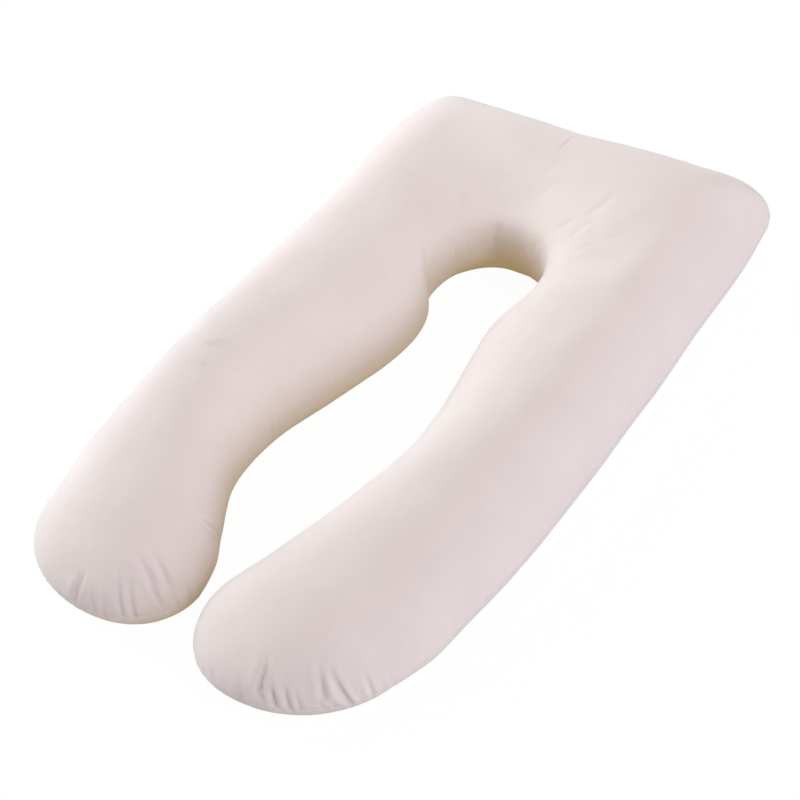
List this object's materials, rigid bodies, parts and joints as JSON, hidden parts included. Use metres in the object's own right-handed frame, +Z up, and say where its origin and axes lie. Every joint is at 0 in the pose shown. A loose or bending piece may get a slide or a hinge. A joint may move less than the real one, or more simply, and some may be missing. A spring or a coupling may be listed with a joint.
{
  "type": "body pillow",
  "caption": "Large U-shaped body pillow in a plain off-white cotton cover, filled and rounded, with a square head end and legs that bend in to round feet.",
  "frame": {"origin": "middle of the pillow's box, on the surface that it rests on", "axes": "+Z up from the surface, +Y along the length towards the square head end, +X across towards the right leg as seen from the feet"},
  "size_m": [0.746, 1.3064, 0.2133],
  "materials": {
    "cotton_cover": "soft matt plain weave, off-white with a faint pink tone"
  },
  "bodies": {
    "root": {"pillow": "cotton_cover"}
  },
  "joints": []
}
